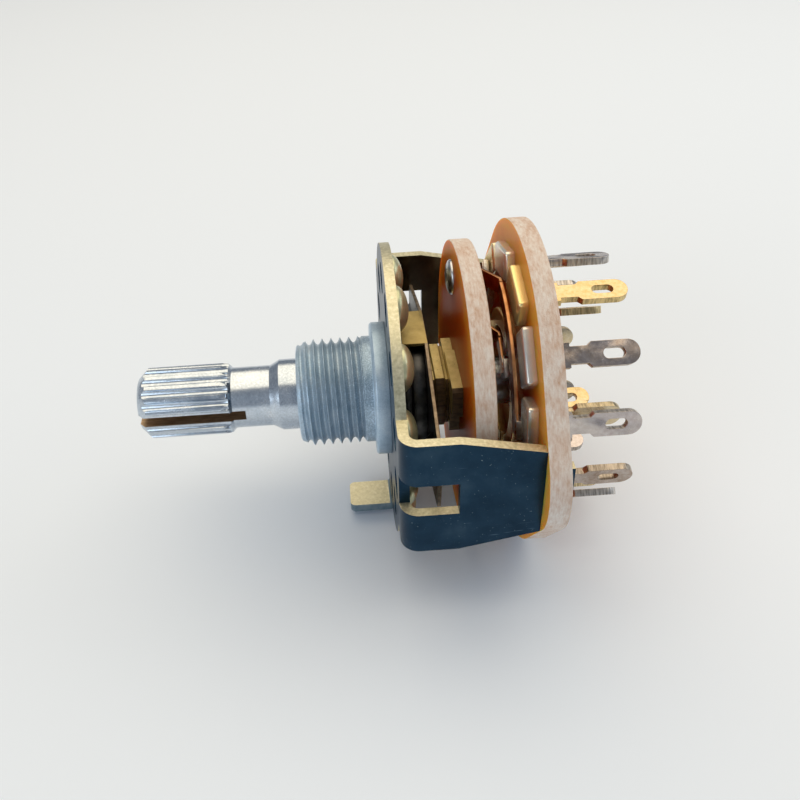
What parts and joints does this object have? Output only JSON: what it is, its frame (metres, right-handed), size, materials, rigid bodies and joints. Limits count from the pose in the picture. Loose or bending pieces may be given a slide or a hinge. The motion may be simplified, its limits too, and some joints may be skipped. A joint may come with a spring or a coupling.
{
  "type": "rotary switch",
  "caption": "Open-frame rotary wafer switch: splined shaft in a threaded panel bush, folded frame with detent spring, and contact wafers with solder tags.",
  "frame": {"origin": "on the shaft's axis, in the front face of the bush's collar, which seats on the panel", "axes": "+X along the shaft's axis from the splined end to the solder tags; the frame's two arms stand at -Y and +Y; the locating lug stands at -Z"},
  "size_m": [0.039, 0.0314, 0.027],
  "materials": {
    "plated_sheet": "folded sheet steel with a thin bright plating, cut edges slightly burred",
    "bush_metal": "die-cast grey metal, dull, with a cut thread",
    "shaft_metal": "turned and splined bright metal",
    "dark_spring_steel": "dark oiled spring steel",
    "spring_leaf": "passivated spring leaf with a yellow tint",
    "plated_small_parts": "small pressed pieces, plated",
    "laminate": "paper and resin laminate, glossy orange-brown faces and pale fibrous cut edges",
    "contact_leaf": "copper alloy leaf with a silver tip",
    "rivet_metal": "plain rivet",
    "tag_metal": "silver-plated brass sheet, tarnished in places"
  },
  "bodies": {
    "housing": {"frame": "plated_sheet", "bush": "bush_metal", "stator_wafer": "laminate", "terminal_01": "tag_metal", "terminal_02": "tag_metal", "terminal_03": "tag_metal", "terminal_04": "tag_metal", "terminal_05": "tag_metal", "terminal_06": "tag_metal", "terminal_07": "tag_metal", "terminal_08": "tag_metal", "terminal_09": "tag_metal", "terminal_10": "tag_metal", "terminal_11": "tag_metal", "terminal_12": "tag_metal", "common_1": "tag_metal", "common_2": "tag_metal", "common_3": "tag_metal"},
    "rotor": {"shaft": "shaft_metal", "retaining_ring": "dark_spring_steel", "spacer_washer": "dark_spring_steel", "detent_spring": "spring_leaf", "spring_retainer": "plated_small_parts", "rotor_drive": "plated_small_parts", "rotor_wafer": "laminate", "rotor_clip": "plated_small_parts", "contact_spring_1": "contact_leaf", "contact_spring_2": "contact_leaf", "contact_spring_3": "contact_leaf", "rotor_rivet_1": "rivet_metal", "rotor_rivet_2": "rivet_metal", "rotor_rivet_3": "rivet_metal"}
  },
  "joints": [
    {"name": "shaft_turn", "type": "hinge", "parent": "housing", "child": "rotor", "pos_m": [0, 0, 0], "axis": [1, 0, 0], "range_deg": [0, 90]}
  ]
}
